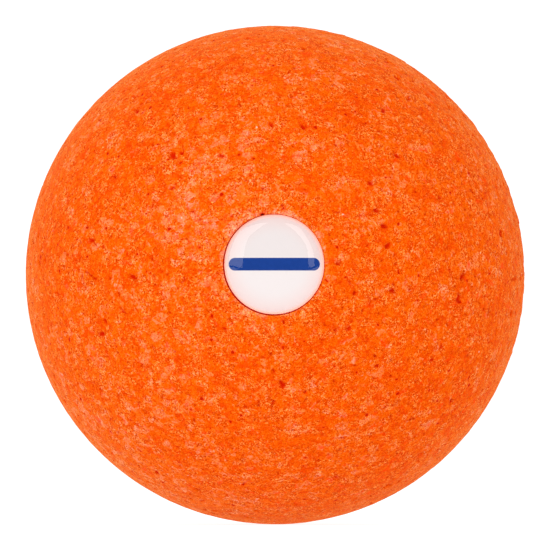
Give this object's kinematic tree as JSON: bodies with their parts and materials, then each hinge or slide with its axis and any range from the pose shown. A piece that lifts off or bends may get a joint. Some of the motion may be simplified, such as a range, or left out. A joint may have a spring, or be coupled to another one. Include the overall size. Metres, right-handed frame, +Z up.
{
  "type": "massage ball",
  "caption": "Firm bead-foam massage ball with a flush round domed badge glued into a shallow pocket in its front.",
  "frame": {"origin": "centre of the ball", "axes": "+Z up as the badge's band reads level, -Y out through the middle of the badge, +X to the right of someone facing the badge"},
  "size_m": [0.12, 0.12, 0.12],
  "materials": {
    "bead_foam": "matte",
    "tape": "matte",
    "white_plastic": "satin",
    "label_film": "satin",
    "clear_resin": "polished"
  },
  "bodies": {
    "root": {"foam_ball": "bead_foam", "badge_tape": "tape", "badge_base": "white_plastic", "badge_label": "label_film", "badge_dome": "clear_resin"}
  },
  "joints": []
}
